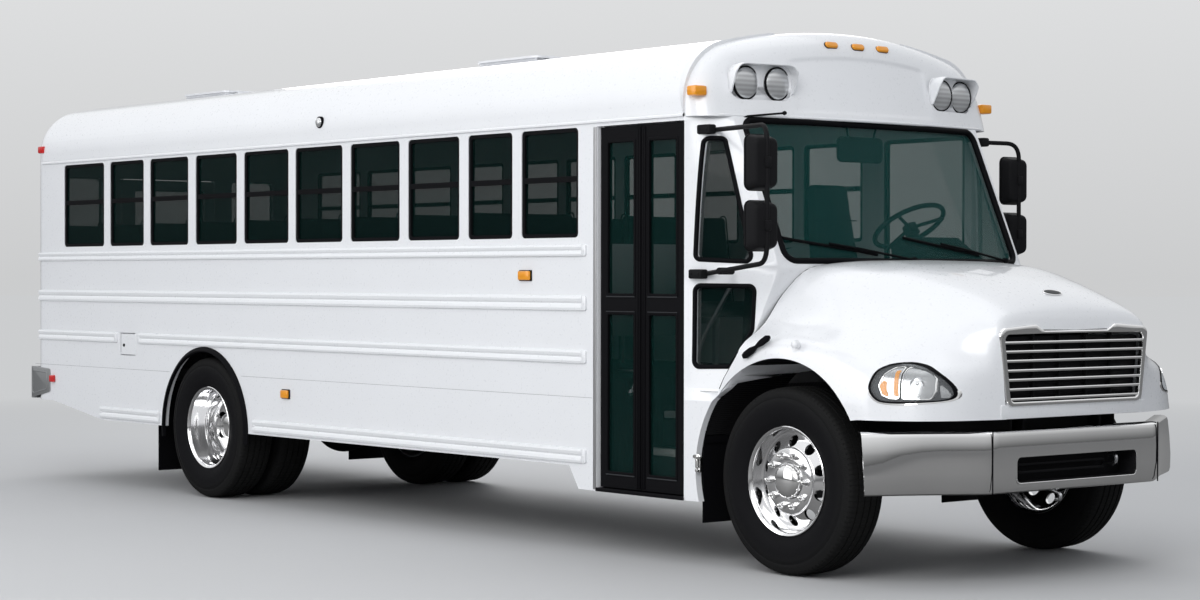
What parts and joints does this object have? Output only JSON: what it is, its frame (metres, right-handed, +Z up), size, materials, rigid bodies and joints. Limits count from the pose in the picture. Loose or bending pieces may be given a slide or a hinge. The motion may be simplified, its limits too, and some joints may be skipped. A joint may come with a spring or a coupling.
{
  "type": "school bus",
  "caption": "Conventional school bus with a tilting hood, entrance door leaves, rear door, roof hatches, steered front wheels and twin rear wheels.",
  "frame": {"origin": "on the ground under the middle of the overall length and width", "axes": "+X forward, +Y to the left of the bus, +Z up"},
  "size_m": [9.906, 3.09, 3.1012],
  "materials": {
    "body_paint": "gloss white enamel",
    "black_paint": "satin black paint",
    "clear_glass": "tinted safety glass",
    "step_rubber": "ribbed black sheet",
    "cast_metal": "painted casting",
    "bare_steel": "galvanised or bare steel",
    "bright_chrome": "bright chrome plate",
    "polished_alloy": "polished aluminium",
    "tyre_rubber": "matt black tread and walls",
    "black_rubber": "moulded black rubber",
    "black_plastic": "textured black moulding",
    "mirror_face": "silvered glass",
    "seat_vinyl": "dark coated seat cloth",
    "amber_lens": "moulded amber lens",
    "red_lens": "moulded red lens",
    "clear_lens": "clear lens over a bright reflector"
  },
  "bodies": {
    "root": {"roof_shell": "body_paint", "rear_wall": "body_paint", "right_wall": "body_paint", "left_wall": "body_paint", "front_cowl": "body_paint", "front_cap": "body_paint", "window_frames": "black_paint", "chassis_frame": "black_paint", "front_axle": "black_paint", "rear_axle": "black_paint", "leaf_springs": "black_paint", "mirrors": "black_paint", "drive_line": "black_paint", "radiator": "black_paint", "side_glass": "clear_glass", "windshield": "clear_glass", "entrance_steps": "step_rubber", "floor_deck": "step_rubber", "engine_block": "cast_metal", "exhaust_system": "bare_steel", "fuel_tank": "bare_steel", "rear_bumper": "bare_steel", "grab_rails": "bare_steel", "bench_frames": "bare_steel", "front_bumper": "bright_chrome", "wheel_flares": "black_rubber", "mud_flaps": "black_rubber", "splash_shields": "black_plastic", "dashboard": "black_plastic", "mirror_glass": "mirror_face", "bench_cushions": "seat_vinyl", "driver_seat": "seat_vinyl", "amber_lamps": "amber_lens", "red_lamps": "red_lens", "warning_lamps": "clear_lens"},
    "hood": {"hood": "body_paint", "headlamps": "clear_lens", "grille": "bright_chrome", "fender_liners": "black_plastic"},
    "entrance_rear": {"entrance_leaf_rear": "black_paint", "entrance_glass_rear": "clear_glass"},
    "entrance_front": {"entrance_leaf_front": "black_paint", "entrance_glass_front": "clear_glass"},
    "rear_door": {"rear_door": "body_paint", "rear_door_glass": "clear_glass"},
    "hatch_front": {"roof_hatch_front": "body_paint"},
    "hatch_rear": {"roof_hatch_rear": "body_paint"},
    "fuel_door": {"fuel_door": "body_paint"},
    "knuckle_right": {"knuckle_right": "cast_metal"},
    "knuckle_left": {"knuckle_left": "cast_metal"},
    "wheel_front_right": {"front_tyre_right": "tyre_rubber", "front_rim_right": "polished_alloy"},
    "wheel_front_left": {"front_tyre_left": "tyre_rubber", "front_rim_left": "polished_alloy"},
    "wheel_rear_right": {"rear_tyres_right": "tyre_rubber", "rear_rims_right": "polished_alloy"},
    "wheel_rear_left": {"rear_tyres_left": "tyre_rubber", "rear_rims_left": "polished_alloy"},
    "steering_wheel": {"steering_wheel": "black_plastic"}
  },
  "joints": [
    {"name": "hood_tilt", "type": "hinge", "parent": "root", "child": "hood", "pos_m": [4.867, 0, 0.9], "axis": [0, 1, 0], "range_deg": [0, 75]},
    {"name": "entrance_rear_swing", "type": "hinge", "parent": "root", "child": "entrance_rear", "pos_m": [2.376, -1.187, 1.4], "axis": [0, 0, -1], "range_deg": [0, 85]},
    {"name": "entrance_front_swing", "type": "hinge", "parent": "root", "child": "entrance_front", "pos_m": [3.101, -1.187, 1.4], "axis": [0, 0, 1], "range_deg": [0, 85]},
    {"name": "rear_door_swing", "type": "hinge", "parent": "root", "child": "rear_door", "pos_m": [-4.893, -0.424, 1.7], "axis": [0, 0, 1], "range_deg": [0, 100]},
    {"name": "hatch_front_lift", "type": "hinge", "parent": "root", "child": "hatch_front", "pos_m": [0.647, 0, 3.073], "axis": [0, 1, 0], "range_deg": [0, 60]},
    {"name": "hatch_rear_lift", "type": "hinge", "parent": "root", "child": "hatch_rear", "pos_m": [-3.348, 0, 3.073], "axis": [0, 1, 0], "range_deg": [0, 60]},
    {"name": "fuel_door_swing", "type": "hinge", "parent": "root", "child": "fuel_door", "pos_m": [-3.227, -1.21, 1.1], "axis": [0, 0, 1], "range_deg": [0, 100]},
    {"name": "steer_right", "type": "hinge", "parent": "root", "child": "knuckle_right", "pos_m": [3.867, -0.88, 0.515], "axis": [0, 0, 1], "range_deg": [-42, 42]},
    {"name": "steer_left", "type": "hinge", "parent": "root", "child": "knuckle_left", "pos_m": [3.867, 0.88, 0.515], "axis": [0, 0, 1], "range_deg": [-42, 42]},
    {"name": "steering_wheel_turn", "type": "hinge", "parent": "root", "child": "steering_wheel", "pos_m": [3.177, 0.56, 1.935], "axis": [-0.5501, 0, 0.8351], "range_deg": [-672, 672]},
    {"name": "front_right_spin", "type": "hinge", "parent": "knuckle_right", "child": "wheel_front_right", "pos_m": [3.867, -1.02, 0.515], "axis": [0, 1, 0], "continuous": true},
    {"name": "front_left_spin", "type": "hinge", "parent": "knuckle_left", "child": "wheel_front_left", "pos_m": [3.867, 1.02, 0.515], "axis": [0, 1, 0], "continuous": true},
    {"name": "rear_right_spin", "type": "hinge", "parent": "root", "child": "wheel_rear_right", "pos_m": [-2.178, -1.073, 0.515], "axis": [0, 1, 0], "continuous": true},
    {"name": "rear_left_spin", "type": "hinge", "parent": "root", "child": "wheel_rear_left", "pos_m": [-2.178, 1.073, 0.515], "axis": [0, 1, 0], "continuous": true}
  ],
  "couplings": [
    {"joint": "entrance_front_swing", "follows": "entrance_rear_swing", "ratio": 1},
    {"joint": "steer_left", "follows": "steer_right", "ratio": 1},
    {"joint": "steering_wheel_turn", "follows": "steer_right", "ratio": 16}
  ]
}
